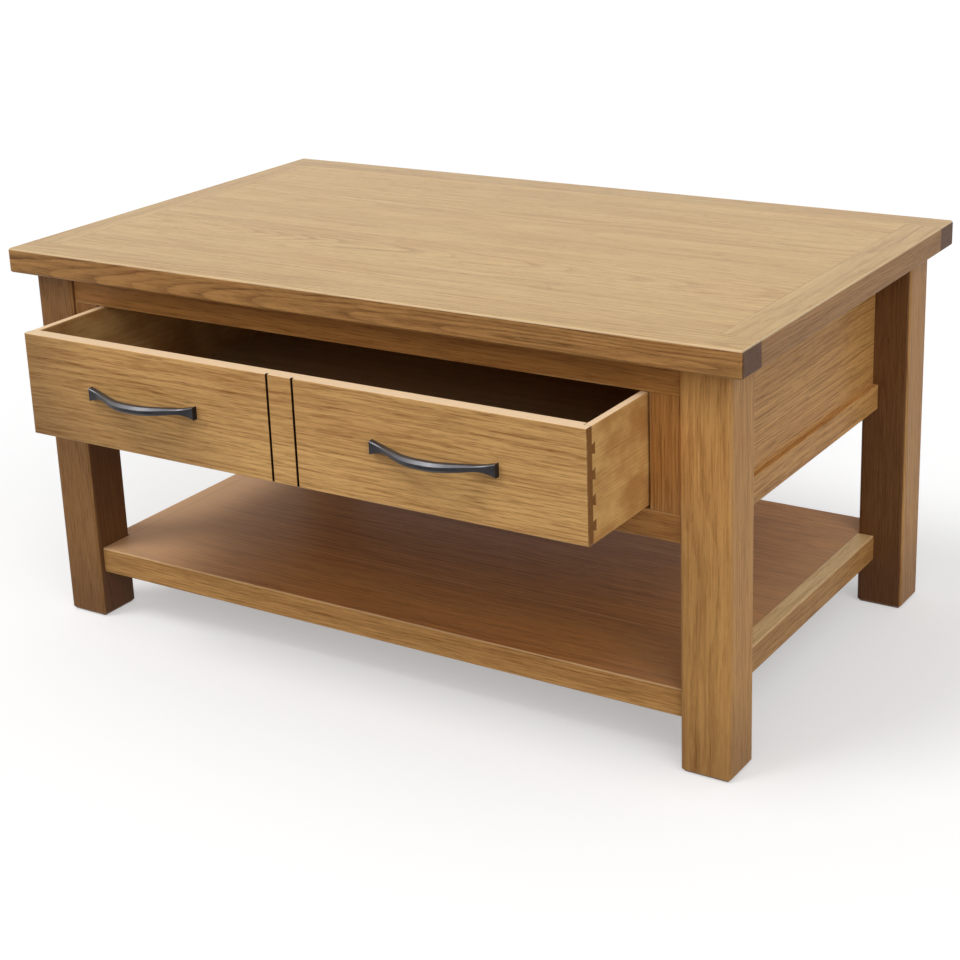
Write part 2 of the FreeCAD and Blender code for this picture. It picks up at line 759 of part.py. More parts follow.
def pulls():
    """Two bow pulls with flared feet, drawn through sections along their length."""
    shares = [-share for share in PULL_PLACE_SHARES[:0:-1]] + list(PULL_PLACE_SHARES)
    for side, name in SIDES.items():
        body = new_body(f"{name}_pull")
        stand(body, f"({side} * {pull_place})", drawer_face, pull_level)
        sections = []
        for share in shares:
            gap, depth, height, bevel = pull_station(abs(share))
            low = (f"(-{gap} - {depth})", f"(-{height} / 2)")
            offset = f"{share} * pull_length / 2"
            sections.append(bevelled(body, low, (depth, height), bevel, offset))
        bow = body.newObject("PartDesign::AdditiveLoft", "Bow")
        bow.Profile = sections[0]
        bow.Sections = sections[1:]
        middle = ("0", "0", "0")
        trim = (both("pull_length"), ("0", "cut_overrun"), both("pull_foot_height"))
        block(body, "PartDesign::SubtractiveBox", middle, trim)
        for hand in SIDES:
            spot = (f"({hand} * pull_hole_pitch / 2)", "cut_overrun", "0")
            radius = "pull_screw_radius + thread_clearance"
            bore(body, middle, spot, TOWARDS_FRONT, radius, "cut_overrun + pull_screw_grip")


def runners():
    """What carries and guides the drawer: runners, guides, kickers and stops on both sides."""
    for side, name in SIDES.items():
        board(
            f"{name}_runner",
            (span(side, runner_in_x, leg_in_x), runner_y, (runner_low, runner_top)),
            add=[runner_stub(side, end) for end in ENDS],
        )
        guide_z = (runner_top, f"({runner_top} + guide_height)")
        board(f"{name}_guide", (span(side, opening_half, leg_in_x), runner_y, guide_z))
        kicker, corner = board(f"{name}_kicker", (span(side, kicker_in_x, leg_in_x), runner_y, top_rail_z))
        for index in SCREWED_BOARDS:
            for hand, (x, y) in zip(SIDES, top_screw_places(index)):
                if hand == side:
                    at = (x, y, opening_top)
                    radius = "top_screw_radius + hole_clearance"
                    bore(kicker, corner, at, UPWARDS, radius, "front_top_rail_height")
                    radius = "top_screw_head_radius + hole_clearance"
                    bore(kicker, corner, at, UPWARDS, radius, "top_screw_counterbore")
        stop_y = (stop_front, f"({stop_front} + stop_length)")
        stop_z = (runner_top, f"({runner_top} + stop_height)")
        board(f"{name}_drawer_stop", (span(side, drawer_in_x, opening_half), stop_y, stop_z))


def rod(at, turn, radius, length):
    """A plain round bar from a point."""
    bar = doc.addObject("Part::Cylinder", "Bar")
    bar.Placement.Rotation = turn
    bind(bar, "Radius", radius)
    bind(bar, "Height", length)
    stand(bar, *at)
    return bar


def screw_group(label, places, shank_turn, head_turn, kind, length):
    """A set of like screws, each a shank and a head that meet at its seat."""
    screws = []
    for at in places:
        screw = doc.addObject("Part::Fuse", "Screw")
        screw.Base = rod(at, shank_turn, f"{kind}_radius", length)
        screw.Tool = rod(at, head_turn, f"{kind}_head_radius", f"{kind}_head_height")
        screws.append(screw)
    group = doc.addObject("Part::Compound", label)
    group.Label = label
    group.Links = screws
    subparts.append(group)


def screws():
    """The screws of the pulls, of the top and of the drawer bottom."""
    downwards = FreeCAD.Rotation(FreeCAD.Vector(1, 0, 0), 180)
    screw_group(
        "pull_screws",
        [(x, front_inner, pull_level) for x in pull_screw_places()],
        TOWARDS_FRONT,
        TOWARDS_REAR,
        "pull_screw",
        "drawer_front_thick + pull_screw_grip",
    )
    screw_group(
        "top_screws",
        [(x, y, screw_seat) for index in SCREWED_BOARDS for x, y in top_screw_places(index)],
        UPWARDS,
        downwards,
        "top_screw",
        "front_top_rail_height - top_screw_counterbore + top_screw_grip",
    )
    screw_group(
        "drawer_bottom_screws",
        [(x, y, bottom_low) for x, y in bottom_screw_places()],
        UPWARDS,
        downwards,
        "bottom_screw",
        "bottom_thick + bottom_screw_grip",
    )


def check_and_write():
    """Stops on any failed object or broken shape, then writes one file for each sub-part."""
    doc.recompute()
    for thing in doc.Objects:
        if {"Invalid", "Error"} & set(thing.State):
            raise RuntimeError(f"{thing.Label} failed: {thing.State}")
    for part in subparts:
        if part.Shape.isNull() or not part.Shape.isValid():
            raise RuntimeError(f"{part.Label} has no valid shape")
        if part.TypeId == "PartDesign::Body" and len(part.Shape.Solids) != 1:
            raise RuntimeError(f"{part.Label} is {len(part.Shape.Solids)} solids")
    os.makedirs("parts", exist_ok=True)
    for part in subparts:
        part.Shape.exportStep(os.path.join("parts", f"{part.Label}.step"))
    print(f"{len(subparts)} sub-parts written")


top()
legs()
face_frame()
aprons()
shelf()
drawer()
pulls()
runners()
screws()
check_and_write()
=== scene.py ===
import math
from typing import NamedTuple

import bpy
from mathutils import Matrix, Vector

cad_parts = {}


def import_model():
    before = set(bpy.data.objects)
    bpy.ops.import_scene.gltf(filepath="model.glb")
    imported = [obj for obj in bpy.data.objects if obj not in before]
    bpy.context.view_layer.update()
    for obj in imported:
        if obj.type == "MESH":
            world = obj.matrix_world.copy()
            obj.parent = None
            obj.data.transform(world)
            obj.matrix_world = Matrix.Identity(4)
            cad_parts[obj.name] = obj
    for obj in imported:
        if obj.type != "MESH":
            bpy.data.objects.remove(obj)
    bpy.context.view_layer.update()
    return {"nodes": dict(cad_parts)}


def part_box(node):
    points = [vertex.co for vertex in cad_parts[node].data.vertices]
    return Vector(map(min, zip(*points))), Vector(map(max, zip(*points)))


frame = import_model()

# Looks of an oak coffee table around its CAD model, in metres.

# Camera fitted to the photograph: place, turns about Z, X and Z in degrees, lens and shift
CAMERA_PLACE = (1.1365, -1.6886, 0.9457)
CAMERA_TURNS = (33.103, 72.132, -2.157)
CAMERA_LENS = 72.24
CAMERA_SENSOR = 36.0
CAMERA_SHIFT_Y = -0.104
MATRIX_SIZE = 4


class Light(NamedTuple):
    """A sun lamp: its strength, the spread of its rays in degrees and the direction that it comes from."""

    strength: float
    spread: float
    source: tuple


# A soft surround, a key from the front left, a broad light from above and a broad fill from the front right
AMBIENT = 0.24
LIGHTS = {
    "key": Light(0.95, 24, (-0.42, -0.46, 1.0)),
    "overhead": Light(0.9, 100, (-0.1, -0.3, 1.0)),
    "fill": Light(1.1, 50, (0.72, -0.55, 0.45)),
}

# Floor: how pale it is when seen and for the light it throws back, and how much more white it shows
FLOOR_WHITE = 0.7
FLOOR_BOUNCE = 0.3
FLOOR_GLOW = 0.38
FLOOR_REACH = 30.0

# Axes, and the turn from one board's log to the next
X_AXIS, Y_AXIS, Z_AXIS = range(3)
GOLDEN_ANGLE = math.pi * (3 - math.sqrt(5))

# Growth rings: their width, and how far the log's middle lies from a board of straight or arched figure
RING_WIDTH = 0.0036
RING_WIDTHS = {"leg": 0.0026}
STRAIGHT_LOG_DISTANCE = 0.16
STRAIGHT_LEAN, STRAIGHT_LEAN_SWING = 0.8, 0.6
ARCHED_LOG_DISTANCE = 0.032
ARCHED_LEAN_SWING = 0.35
ARCHED_LOG_TILT = 0.05
LOG_OFFSET = 9.0
EARLY_WOOD = (0.0, 0.55)
LATE_WOOD = (0.9, 1.0)
FAINTEST_RING = 0.3

# Noise in the wood: repeats per metre along and across the grain, then its reach or its steps
BEND, BEND_REACH = (1.6, 8.0), 0.03
WAVE, WAVE_REACH = (9.0, 45.0), 0.0045
BAND, BAND_STEPS = (1.1, 24.0), (0.32, 0.68)
STREAK, STREAK_STEPS = (6.0, 220.0), (0.35, 0.65)
DASH, DASH_STEPS = (24.0, 600.0), (0.5, 0.6)
PORE, PORE_STEPS = (55.0, 1250.0), (0.54, 0.66)
BLUSH, BLUSH_STEPS = (5.0, 22.0), (0.45, 0.75)
PATCH, PATCH_STEPS = (16.0, 60.0), (0.4, 0.7)
MOTTLE, MOTTLE_STEPS = (15.0, 24.0), (0.28, 0.7)

# Detail of the noise: its finer layers, and how strong each is beside the last
SOFT_DETAIL = (2.0, 0.55)
PLAIN_DETAIL = (3.0, 0.55)
FINE_DETAIL = (4.0, 0.65)
PORE_DETAIL = (2.0, 0.7)
GRIT_DETAIL = (4.0, 0.6)

# How much each part of the figure darkens the wood
EARLY_SHARE = 0.36
ARCHED_EARLY_SHARE = 0.56
BAND_SHARE = 0.24
STREAK_SHARE = 0.3
FIGURE_START = -0.1
FIGURE_MEAN = 0.42
FIGURE_MOST = 1.25
PORE_SHARE = 0.55
BLUSH_SHARE = 0.3
BLUSH_TONE_SHARE, BLUSH_START = 0.5, 0.3
MOTTLE_SHARE = 0.75
EARLY_PORE_SHARE = 0.6

# Surface: how streaks, dashes and pores change its roughness and its height, and its lacquer
ROUGH_STREAK_SHARE, ROUGH_PORE_SHARE, ROUGH_START = 0.16, 0.15, -0.08
HEIGHT_STREAK_SHARE, HEIGHT_DASH_SHARE, HEIGHT_PORE_SHARE = 0.3, -0.3, -0.8
GRAIN_DEPTH = 0.00015
WOOD_IOR = 1.28
LACQUER_IOR = 1.3
LACQUER_ROUGH = 0.22

# Ends, edges and faces: wear, painted highlights on arrises, joint lines, bare upper edges and the shelf's
# ends made paler by painted light, painted shade at the feet and in the grooves
WEAR_WIDTH = 0.0026
WEAR_SHARE = 0.35
ARRIS_HIGHLIGHT_SHARES = {"top": 0.55, "shelf": 0.3}
JOINT_LINE = 0.0009
LINE_SHARE = 0.6
END_SHARE = 0.85
BARE_LIT_SHARE = 0.85
LIT_LEFT, LIT_LEFT_SHARE = (-0.42, -0.12), 0.85
LIT_RIGHT, LIT_RIGHT_SHARE = (0.22, 0.46), 0.45
FOOT_SHADE_REACH, FOOT_SHADE_SHARE = (0.01, 0.11), 0.3
GROOVE_DEPTH = 0.003
GROOVE_PLACE = 0.0155
GROOVE_HALF = 0.0015
GROOVE_EDGE = 0.0004

# Share of a face's direction from which it counts as facing that way, and between which as a rounded edge
FACING = (0.6, 0.9)
ROUNDED = (0.25, 0.45, 0.85, 0.97)

# The usual display space: its white, and the curve of its tones with a straight part at the dark end
DISPLAY_WHITE = 255
STRAIGHT_TONE_END, STRAIGHT_TONE_SLOPE = 0.04045, 12.92
CURVED_TONE_OFFSET, CURVED_TONE_POWER = 0.055, 2.4


def srgb(red, green, blue):
    """A colour given as 0 to 255 in the usual display space, as Blender's linear values."""

    def linear(value):
        share = value / DISPLAY_WHITE
        if share <= STRAIGHT_TONE_END:
            return share / STRAIGHT_TONE_SLOPE
        return ((share + CURVED_TONE_OFFSET) / (1 + CURVED_TONE_OFFSET)) ** CURVED_TONE_POWER

    return (linear(red), linear(green), linear(blue), 1.0)


class Wood(NamedTuple):
    """A finish of oak: two tones, roughness, lacquer, and how strongly its grain and its flecks show."""

    light: tuple
    dark: tuple
    rough: float
    lacquer: float
    contrast: float
    flecks: float


TOP_OAK = Wood(srgb(213, 176, 115), srgb(164, 124, 69), 0.45, 0.3, 0.85, 0.22)
EDGE_OAK = Wood(srgb(190, 140, 82), srgb(110, 70, 33), 0.5, 0.1, 1.0, 0.16)
OAK = Wood(srgb(218, 164, 96), srgb(148, 96, 45), 0.5, 0.12, 1.0, 0.36)
LEG_OAK = Wood(srgb(218, 164, 96), srgb(148, 96, 45), 0.5, 0.12, 0.7, 0.36)
FRONT_OAK = Wood(srgb(230, 180, 113), srgb(156, 105, 52), 0.5, 0.12, 0.95, 0.36)
# The face frame's darker, redder finish is painted warm shade under the top and the drawer
SHADED_FRAME_OAK = Wood(srgb(213, 152, 81), srgb(145, 89, 36), 0.5, 0.12, 0.9, 0.36)
# Painted light: much paler upper faces on the shelf's right rail
LIT_RAIL_OAK = Wood(srgb(255, 222, 160), srgb(218, 164, 104), 0.5, 0.1, 0.9, 0.3)
SHELF_OAK = Wood(srgb(210, 142, 72), srgb(143, 84, 36), 0.58, 0.1, 0.9, 0.3)
DRAWER_OAK = Wood(srgb(250, 206, 132), srgb(196, 142, 76), 0.55, 0.1, 0.7, 0.06)
DEEP_OAK = Wood(srgb(194, 162, 118), srgb(148, 116, 78), 0.7, 0.0, 0.7, 0.2)
INNER_OAK = Wood(srgb(176, 132, 84), srgb(130, 88, 50), 0.65, 0.0, 0.8, 0.3)

PORE_BROWN = srgb(86, 50, 22)
BLUSH_BROWN = srgb(178, 108, 54)
MOTTLE_BROWN = srgb(168, 108, 52)
END_BROWN = srgb(76, 44, 29)
PIN_BROWN = srgb(114, 66, 22)
WORN_OAK = srgb(226, 186, 130)
# Painted highlight for rounded arrises
ARRIS_HIGHLIGHT_OAK = srgb(240, 216, 176)
# Bare wood on the drawer's upper edges, made paler by painted light on upward faces
BARE_LIT_OAK = srgb(250, 220, 182)
# Painted light: the paler colour of the shelf's upper faces towards its ends
LIT_SHELF_OAK = srgb(230, 186, 142)
LINE_BROWN = srgb(52, 30, 14)
# Painted shade inside the drawer front's grooves
GROOVE_SHADE_BROWN = srgb(30, 18, 10)
SHADE_BROWN = srgb(62, 24, 14)
WHITE = srgb(DISPLAY_WHITE, DISPLAY_WHITE, DISPLAY_WHITE)

DARK_IRON = srgb(34, 32, 34)
GREY_IRON = srgb(50, 48, 51)
# Painted light on iron: a paler top and a highlight along the upper edge
LIT_TOP_IRON = srgb(96, 97, 102)
HIGHLIGHT_IRON = srgb(164, 164, 170)
DARK_STEEL = srgb(150, 150, 152)
PALE_STEEL = srgb(190, 190, 194)

# Metals: grit and clouds in repeats per metre, and where iron gets a painted paler top and a painted
# highlight by how far its face turns upwards
IRON_CLOUD, IRON_CLOUD_STEPS = 90.0, (0.3, 0.7)
IRON_GRIT = 700.0
STEEL_GRIT = 900.0
GRIT_DEPTH = 0.00003
IRON_LIT_TOP_STEPS, IRON_LIT_TOP_SHARE = (0.4, 0.8), 0.45
IRON_HIGHLIGHT_STEPS, IRON_HIGHLIGHT_SHARE = (0.4, 0.6, 0.8, 0.95), 0.2
IRON_ROUGH, IRON_ROUGH_SHARE = 0.3, 0.16
IRON_METALLIC = 0.6
STEEL_ROUGH, STEEL_ROUGH_SHARE = 0.25, 0.2
STEEL_METALLIC = 1.0

# Boards whose grain stands or runs crosswise, then boards of a kind, by name or the start or end of one
STANDING = ("leg_", "front_left_stile", "front_right_stile")
CROSSWISE = (
    "top_left_end_rail",
    "top_right_end_rail",
    "shelf_left_rail",
    "shelf_right_rail",
    "drawer_left_side",
    "drawer_right_side",
    "left_",
    "right_",
)
INNER = ("runner", "guide", "kicker", "stop")
MOTTLED = ("drawer_left_side", "drawer_right_side")
BARE_LIT_TOPPED = ("drawer_front", "drawer_left_side", "drawer_right_side", "drawer_back")
ARCHED = ("top_front_rail", "leg_front_left", "leg_rear_right", "top_board_2")
ARCHED_ON_FRONT = ("top_front_rail", "leg_front_left", "leg_rear_right")

# Boards darker than their neighbours, as a share of the finish's own tone: painted shade on the legs, the
# face frame and the shelf's front rail under the top and the drawer, and a darker board tone on the top's
# rails
TONE_AND_SHADE_SHARES = {
    "leg_front_left": 0.8,
    "leg_rear_left": 0.7,
    "front_right_stile": 0.7,
    "front_left_stile": 0.58,
    "front_top_rail": 0.72,
    "front_bottom_rail": 0.78,
    "shelf_front_rail": 0.95,
    "top_rear_rail": 0.88,
    "top_left_end_rail": 0.93,
    "top_right_end_rail": 0.9,
}

# Faces with painted shade, darker than the rest of their board, with the axis, the sign and the share of
# tone of each
SHADED_FACE_SHARES = {
    "leg_front_left": ((Y_AXIS, -1.0, 0.58), (X_AXIS, 1.0, 0.24)),
    "leg_rear_right": ((Y_AXIS, -1.0, 0.24), (X_AXIS, -1.0, 0.5), (X_AXIS, 1.0, 0.85)),
    "shelf_right_rail": ((X_AXIS, 1.0, 0.84),),
    "drawer_left_side": ((X_AXIS, 1.0, 0.5),),
    "drawer_right_side": ((X_AXIS, -1.0, 0.5),),
}


class ShadeDim(NamedTuple):
    """A part of a board with painted shade: how dark it is, and from where to where that fades along each
    axis.
    """

    share: float
    fades: dict


# Painted shade on boards, darker towards their left end or lower edge
SHADE_DIMS = {
    "drawer_front": (
        ShadeDim(0.42, {X_AXIS: (-0.37, -0.22)}),
        ShadeDim(0.26, {X_AXIS: (-0.14, -0.02), Z_AXIS: (0.28, 0.35)}),
    ),
    "shelf_front_rail": (ShadeDim(0.2, {X_AXIS: (-0.4, -0.25)}),),
}


class Shader:
    """A material's node tree with short calls for the nodes used here."""

    def __init__(self, name):
        self.material = bpy.data.materials.new(name)
        self.material.use_nodes = True
        self.tree = self.material.node_tree
        self.tree.nodes.clear()
        self.output = self.add("ShaderNodeOutputMaterial")

    def add(self, kind, **settings):
        node = self.tree.nodes.new(kind)
        for key, value in settings.items():
            setattr(node, key, value)
        return node

    def put(self, socket, value):
        """Links a socket, or sets a plain value on it."""
        if isinstance(value, bpy.types.NodeSocket):
            self.tree.links.new(value, socket)
        else:
            socket.default_value = value

    def math(self, operation, *values):
        node = self.add("ShaderNodeMath", operation=operation)
        for socket, value in zip(node.inputs, values):
            self.put(socket, value)
        return node.outputs[0]

    def total(self, *terms):
        """The sum of several terms, each a value or a pair of a value and its weight."""
        result = 0.0
        for term in terms:
            value, weight = term if isinstance(term, tuple) else (term, 1.0)
            result = self.math("MULTIPLY_ADD", value, weight, result)
        return result

    def product(self, first, *others):
        for other in others:
            first = self.math("MULTIPLY", first, other)
        return first

    def steps(self, value, low, high):
        """Zero below low, one above high and a soft slope between."""
        node = self.add("ShaderNodeMapRange", interpolation_type="SMOOTHSTEP")
        self.put(node.inputs["Value"], value)
        self.put(node.inputs["From Min"], low)
        self.put(node.inputs["From Max"], high)
        return node.outputs["Result"]

    def fading(self, value, low, high):
        """One below low, zero above high and a soft slope between."""
        return self.math("SUBTRACT", 1.0, self.steps(value, low, high))

    def vector(self, *parts):
        node = self.add("ShaderNodeCombineXYZ")
        for socket, value in zip(node.inputs, parts):
            self.put(socket, value)
        return node.outputs[0]

    def noise(self, vector, detail):
        """Soft noise about one half, one cell for each unit of the vector."""
        node = self.add("ShaderNodeTexNoise")
        self.put(node.inputs["Vector"], vector)
        self.put(node.inputs["Scale"], 1.0)
        for name, value in zip(("Detail", "Roughness"), detail):
            self.put(node.inputs[name], value)
        return node.outputs["Fac"]

    def chance(self, number):
        """A random share for each whole number."""
        node = self.add("ShaderNodeTexWhiteNoise", noise_dimensions="1D")
        self.put(node.inputs["W"], number)
        return node.outputs["Value"]

    def mix(self, share, first, second):
        node = self.add("ShaderNodeMix", data_type="RGBA")
        sockets = {socket.identifier: socket for socket in node.inputs}
        self.put(sockets["Factor_Float"], share)
        self.put(sockets["A_Color"], first)
        self.put(sockets["B_Color"], second)
        return next(socket for socket in node.outputs if socket.identifier == "Result_Color")

    def split(self, output):
        """The three parts of a texture coordinate in the piece's own frame, which moves with it."""
        node = self.add("ShaderNodeSeparateXYZ")
        self.put(node.inputs[0], self.add("ShaderNodeTexCoord").outputs[output])
        return list(node.outputs)

    def surface(self, colour, roughness, bump, bump_depth, **settings):
        shader = self.add("ShaderNodeBsdfPrincipled")
        self.put(shader.inputs["Base Color"], colour)
        self.put(shader.inputs["Roughness"], roughness)
        for key, value in settings.items():
            self.put(shader.inputs[key], value)
        node = self.add("ShaderNodeBump")
        self.put(node.inputs["Distance"], bump_depth)
        self.put(node.inputs["Height"], bump)
        self.put(shader.inputs["Normal"], node.outputs[0])
        self.put(self.output.inputs["Surface"], shader.outputs[0])
        return self.material


def grain_of(node):
    """The axis along which a board's grain runs."""
    if node.startswith(STANDING):
        return Z_AXIS
    return Y_AXIS if node.startswith(CROSSWISE) else X_AXIS


def grain_ends(node, grain):
    """Where the part of a board that shows ends along its grain, without hidden tenons and tongues."""
    low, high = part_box(node)
    stops = {
        X_AXIS: ("leg_front_left", "leg_front_right"),
        Y_AXIS: ("leg_front_right", "leg_rear_right"),
        Z_AXIS: ("front_bottom_rail", "front_top_rail"),
    }[grain]
    if node.startswith("top_"):
        stops = {
            X_AXIS: ("top_left_end_rail", "top_right_end_rail"),
            Y_AXIS: ("top_front_rail", "top_rear_rail"),
        }[grain]
    if node in ("top_front_rail", "top_rear_rail") or node.startswith(("leg_", "drawer_")):
        return low[grain], high[grain]
    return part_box(stops[0])[1][grain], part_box(stops[1])[0][grain]


def edge_distance(shader, place, node):
    """How far a point on a board lies from the board's nearest edge."""
    low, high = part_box(node)
    gaps = []
    for part, start, stop in zip(place, low, high):
        before, after = shader.math("SUBTRACT", part, start), shader.math("SUBTRACT", stop, part)
        gaps.append(shader.math("MINIMUM", before, after))
    smaller = shader.math("MINIMUM", gaps[0], gaps[1])
    larger = shader.math("MAXIMUM", gaps[0], gaps[1])
    return shader.math("MAXIMUM", smaller, shader.math("MINIMUM", larger, gaps[2]))


class Board:
    """A piece of oak, cut beside the middle of a log so that the rings on its faces and ends agree."""

    def __init__(self, node, level, upright, seed):
        self.node = node
        self.level, self.upright = level, upright
        self.grain = grain_of(node)
        self.shader = shader = Shader(f"oak_{node}")
        self.place = shader.split("Object")
        self.facing = shader.split("Normal")
        self.sides = [shader.math("ABSOLUTE", part) for part in self.facing]
        low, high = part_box(node)
        middle = (low + high) / 2
        across = {X_AXIS, Y_AXIS, Z_AXIS} - {self.grain}
        thin, wide = sorted(across, key=lambda axis: high[axis] - low[axis])
        if node in ARCHED_ON_FRONT:
            thin, wide = wide, thin
        turn = seed * GOLDEN_ANGLE
        hand = math.copysign(1.0, math.cos(turn))
        distance, tilt = STRAIGHT_LOG_DISTANCE, 0.0
        lean = STRAIGHT_LEAN + STRAIGHT_LEAN_SWING * math.sin(turn)
        if node in ARCHED:
            distance, tilt = ARCHED_LOG_DISTANCE, hand * ARCHED_LOG_TILT
            lean = ARCHED_LEAN_SWING * math.sin(turn)
        along = shader.math("SUBTRACT", self.place[self.grain], middle[self.grain])
        self.depth = shader.total(self.place[thin], distance * math.cos(lean) - middle[thin], (along, tilt))
        self.breadth = shader.math("ADD", self.place[wide], hand * distance * math.sin(lean) - middle[wide])
        self.along = shader.math("ADD", along, LOG_OFFSET * seed)
        self.early = self.rings()
        self.streak = self.noise(STREAK, FINE_DETAIL)
        self.dash = shader.steps(self.noise(DASH, SOFT_DETAIL), *DASH_STEPS)
        pore = shader.steps(self.noise(PORE, PORE_DETAIL), *PORE_STEPS)
        porous = shader.total((self.early, EARLY_PORE_SHARE), 1.0 - EARLY_PORE_SHARE)
        self.pore = shader.product(pore, porous)
        self.end = shader.steps(self.sides[self.grain], *FACING)
        self.standing = shader.fading(self.sides[Z_AXIS], *FACING)
        self.upward = shader.steps(self.facing[Z_AXIS], *FACING)

    def noise(self, scales, detail):
        """Noise drawn out along the grain."""
        lengthwise, across = scales
        parts = (self.along, lengthwise), (self.depth, across), (self.breadth, across)
        product = self.shader.product
        return self.shader.noise(self.shader.vector(*(product(*part) for part in parts)), detail)

    def rings(self):
        """How far a point lies in its ring's porous early wood, fainter or stronger by chance."""
        shader = self.shader
        radius = shader.math("SQRT", shader.total((self.depth, self.depth), (self.breadth, self.breadth)))
        bend, wave = self.noise(BEND, SOFT_DETAIL), self.noise(WAVE, SOFT_DETAIL)
        radius = shader.total(radius, (bend, BEND_REACH), (wave, WAVE_REACH))
        width = RING_WIDTHS.get(self.node.split("_")[0], RING_WIDTH)
        count = shader.math("DIVIDE", radius, width)
        ring = shader.math("FRACT", count)
        early = shader.math("MAXIMUM", shader.fading(ring, *EARLY_WOOD), shader.steps(ring, *LATE_WOOD))
        chance = shader.chance(shader.math("FLOOR", count))
        return shader.product(early, shader.total((chance, 1.0 - FAINTEST_RING), FAINTEST_RING))

    def figure(self, wood, tone):
        """The colour of the wood's face in one finish, by how dark its figure is."""
        shader = self.shader
        tone = shader.total(tone, (self.dash, wood.flecks))
        tone = shader.total((tone, wood.contrast), FIGURE_MEAN * (1 - wood.contrast))
        tone = shader.math("MINIMUM", shader.math("MAXIMUM", tone, 0.0), FIGURE_MOST)
        colour = shader.mix(tone, wood.light, wood.dark)
        return shader.mix(shader.product(self.pore, PORE_SHARE * wood.contrast), colour, PORE_BROWN)

    def face(self):
        """The colour of the board's faces, with a warm blush in patches."""
        shader = self.shader
        band = shader.steps(self.noise(BAND, SOFT_DETAIL), *BAND_STEPS)
        streak = shader.steps(self.streak, *STREAK_STEPS)
        rings = ARCHED_EARLY_SHARE if self.node in ARCHED else EARLY_SHARE
        tone = shader.total((self.early, rings), (band, BAND_SHARE), (streak, STREAK_SHARE), FIGURE_START)
        colour = self.figure(self.level, tone)
        if self.upright != self.level:
            colour = shader.mix(self.standing, colour, self.figure(self.upright, tone))
        blush = shader.product(shader.steps(self.noise(BLUSH, SOFT_DETAIL), *BLUSH_STEPS), BLUSH_SHARE)
        blush = shader.product(blush, shader.total((tone, BLUSH_TONE_SHARE), BLUSH_START))
        colour = shader.mix(blush, colour, BLUSH_BROWN)
        if self.node in MOTTLED:
            mottle = shader.steps(self.noise(MOTTLE, PLAIN_DETAIL), *MOTTLE_STEPS)
            colour = shader.mix(shader.product(mottle, MOTTLE_SHARE), colour, MOTTLE_BROWN)
        return colour

    def worn_lit_and_shaded(self, colour):
        """The colour with what time and the maker did to the board's ends, faces and edges, and with
        painted light and shade on it.
        """
        shader = self.shader
        end_tone = PIN_BROWN if self.node == "drawer_front" else END_BROWN
        colour = self.shaded(shader.mix(shader.product(self.end, END_SHARE), colour, end_tone))
        colour = self.rubbed_and_highlit(self.bared_and_lit(colour))
        # Painted shade in the drawer front's grooves
        if self.node == "drawer_front":
            colour = shader.mix(self.groove_shade(), colour, GROOVE_SHADE_BROWN)
        return shader.mix(self.joints(), colour, LINE_BROWN)

    def shaded(self, colour):
        """The colour with painted shade: darker boards, faces and parts of boards, and legs darker towards
        the floor.
        """
        shader = self.shader
        # Painted shade, and plain board tone: whole boards darkened towards a shade brown
        colour = shader.mix(TONE_AND_SHADE_SHARES.get(self.node, 1.0), SHADE_BROWN, colour)
        # Painted shade on faces turned away from the light or into the drawer
        for axis, sign, share in SHADED_FACE_SHARES.get(self.node, ()):
            dark = shader.steps(shader.product(self.facing[axis], sign), *FACING)
            colour = shader.mix(shader.product(dark, 1.0 - share), colour, SHADE_BROWN)
        # Painted shade fading along the board
        for shade_dim in SHADE_DIMS.get(self.node, ()):
            fades = (shader.fading(self.place[axis], *reach) for axis, reach in shade_dim.fades.items())
            colour = shader.mix(shader.product(shade_dim.share, *fades), colour, SHADE_BROWN)
        # Painted shade on the legs near the floor
        if self.node.startswith("leg_"):
            foot_shade = shader.product(shader.fading(self.place[Z_AXIS], *FOOT_SHADE_REACH), FOOT_SHADE_SHARE)
            colour = shader.mix(foot_shade, colour, SHADE_BROWN)
        return colour

    def bared_and_lit(self, colour):
        """The colour with painted light on a shelf's upper faces towards its ends, and a drawer with bare
        upper edges made paler still by painted light.
        """
        shader = self.shader
        # Painted light on the shelf's upper faces towards its ends
        if self.level == SHELF_OAK:
            left = shader.fading(self.place[X_AXIS], *LIT_LEFT)
            right = shader.steps(self.place[X_AXIS], *LIT_RIGHT)
            lit_ends = shader.total((left, LIT_LEFT_SHARE), (right, LIT_RIGHT_SHARE))
            colour = shader.mix(shader.product(lit_ends, self.upward), colour, LIT_SHELF_OAK)
        # Bare upper edges, paler still with painted light on upward faces
        if self.node in BARE_LIT_TOPPED:
            colour = shader.mix(shader.product(self.upward, BARE_LIT_SHARE), colour, BARE_LIT_OAK)
        return colour

    def rubbed_and_highlit(self, colour):
        """The colour with edges worn in places, and painted highlights along the rounded arrises round the
        top and the shelf.
        """
        shader = self.shader
        edge = shader.fading(edge_distance(shader, self.place, self.node), 0.0, WEAR_WIDTH)
        patches = shader.steps(self.noise(PATCH, PLAIN_DETAIL), *PATCH_STEPS)
        colour = shader.mix(shader.product(edge, patches, WEAR_SHARE), colour, WORN_OAK)
        # Painted highlight on rounded edges that turn partly upwards
        share = ARRIS_HIGHLIGHT_SHARES.get(self.node.split("_")[0])
        if share is not None:
            lowest, low, high, highest = ROUNDED
            rise = self.facing[Z_AXIS]
            rising, level = shader.steps(rise, lowest, low), shader.fading(rise, high, highest)
            colour = shader.mix(shader.product(rising, level, share), colour, ARRIS_HIGHLIGHT_OAK)
        return colour

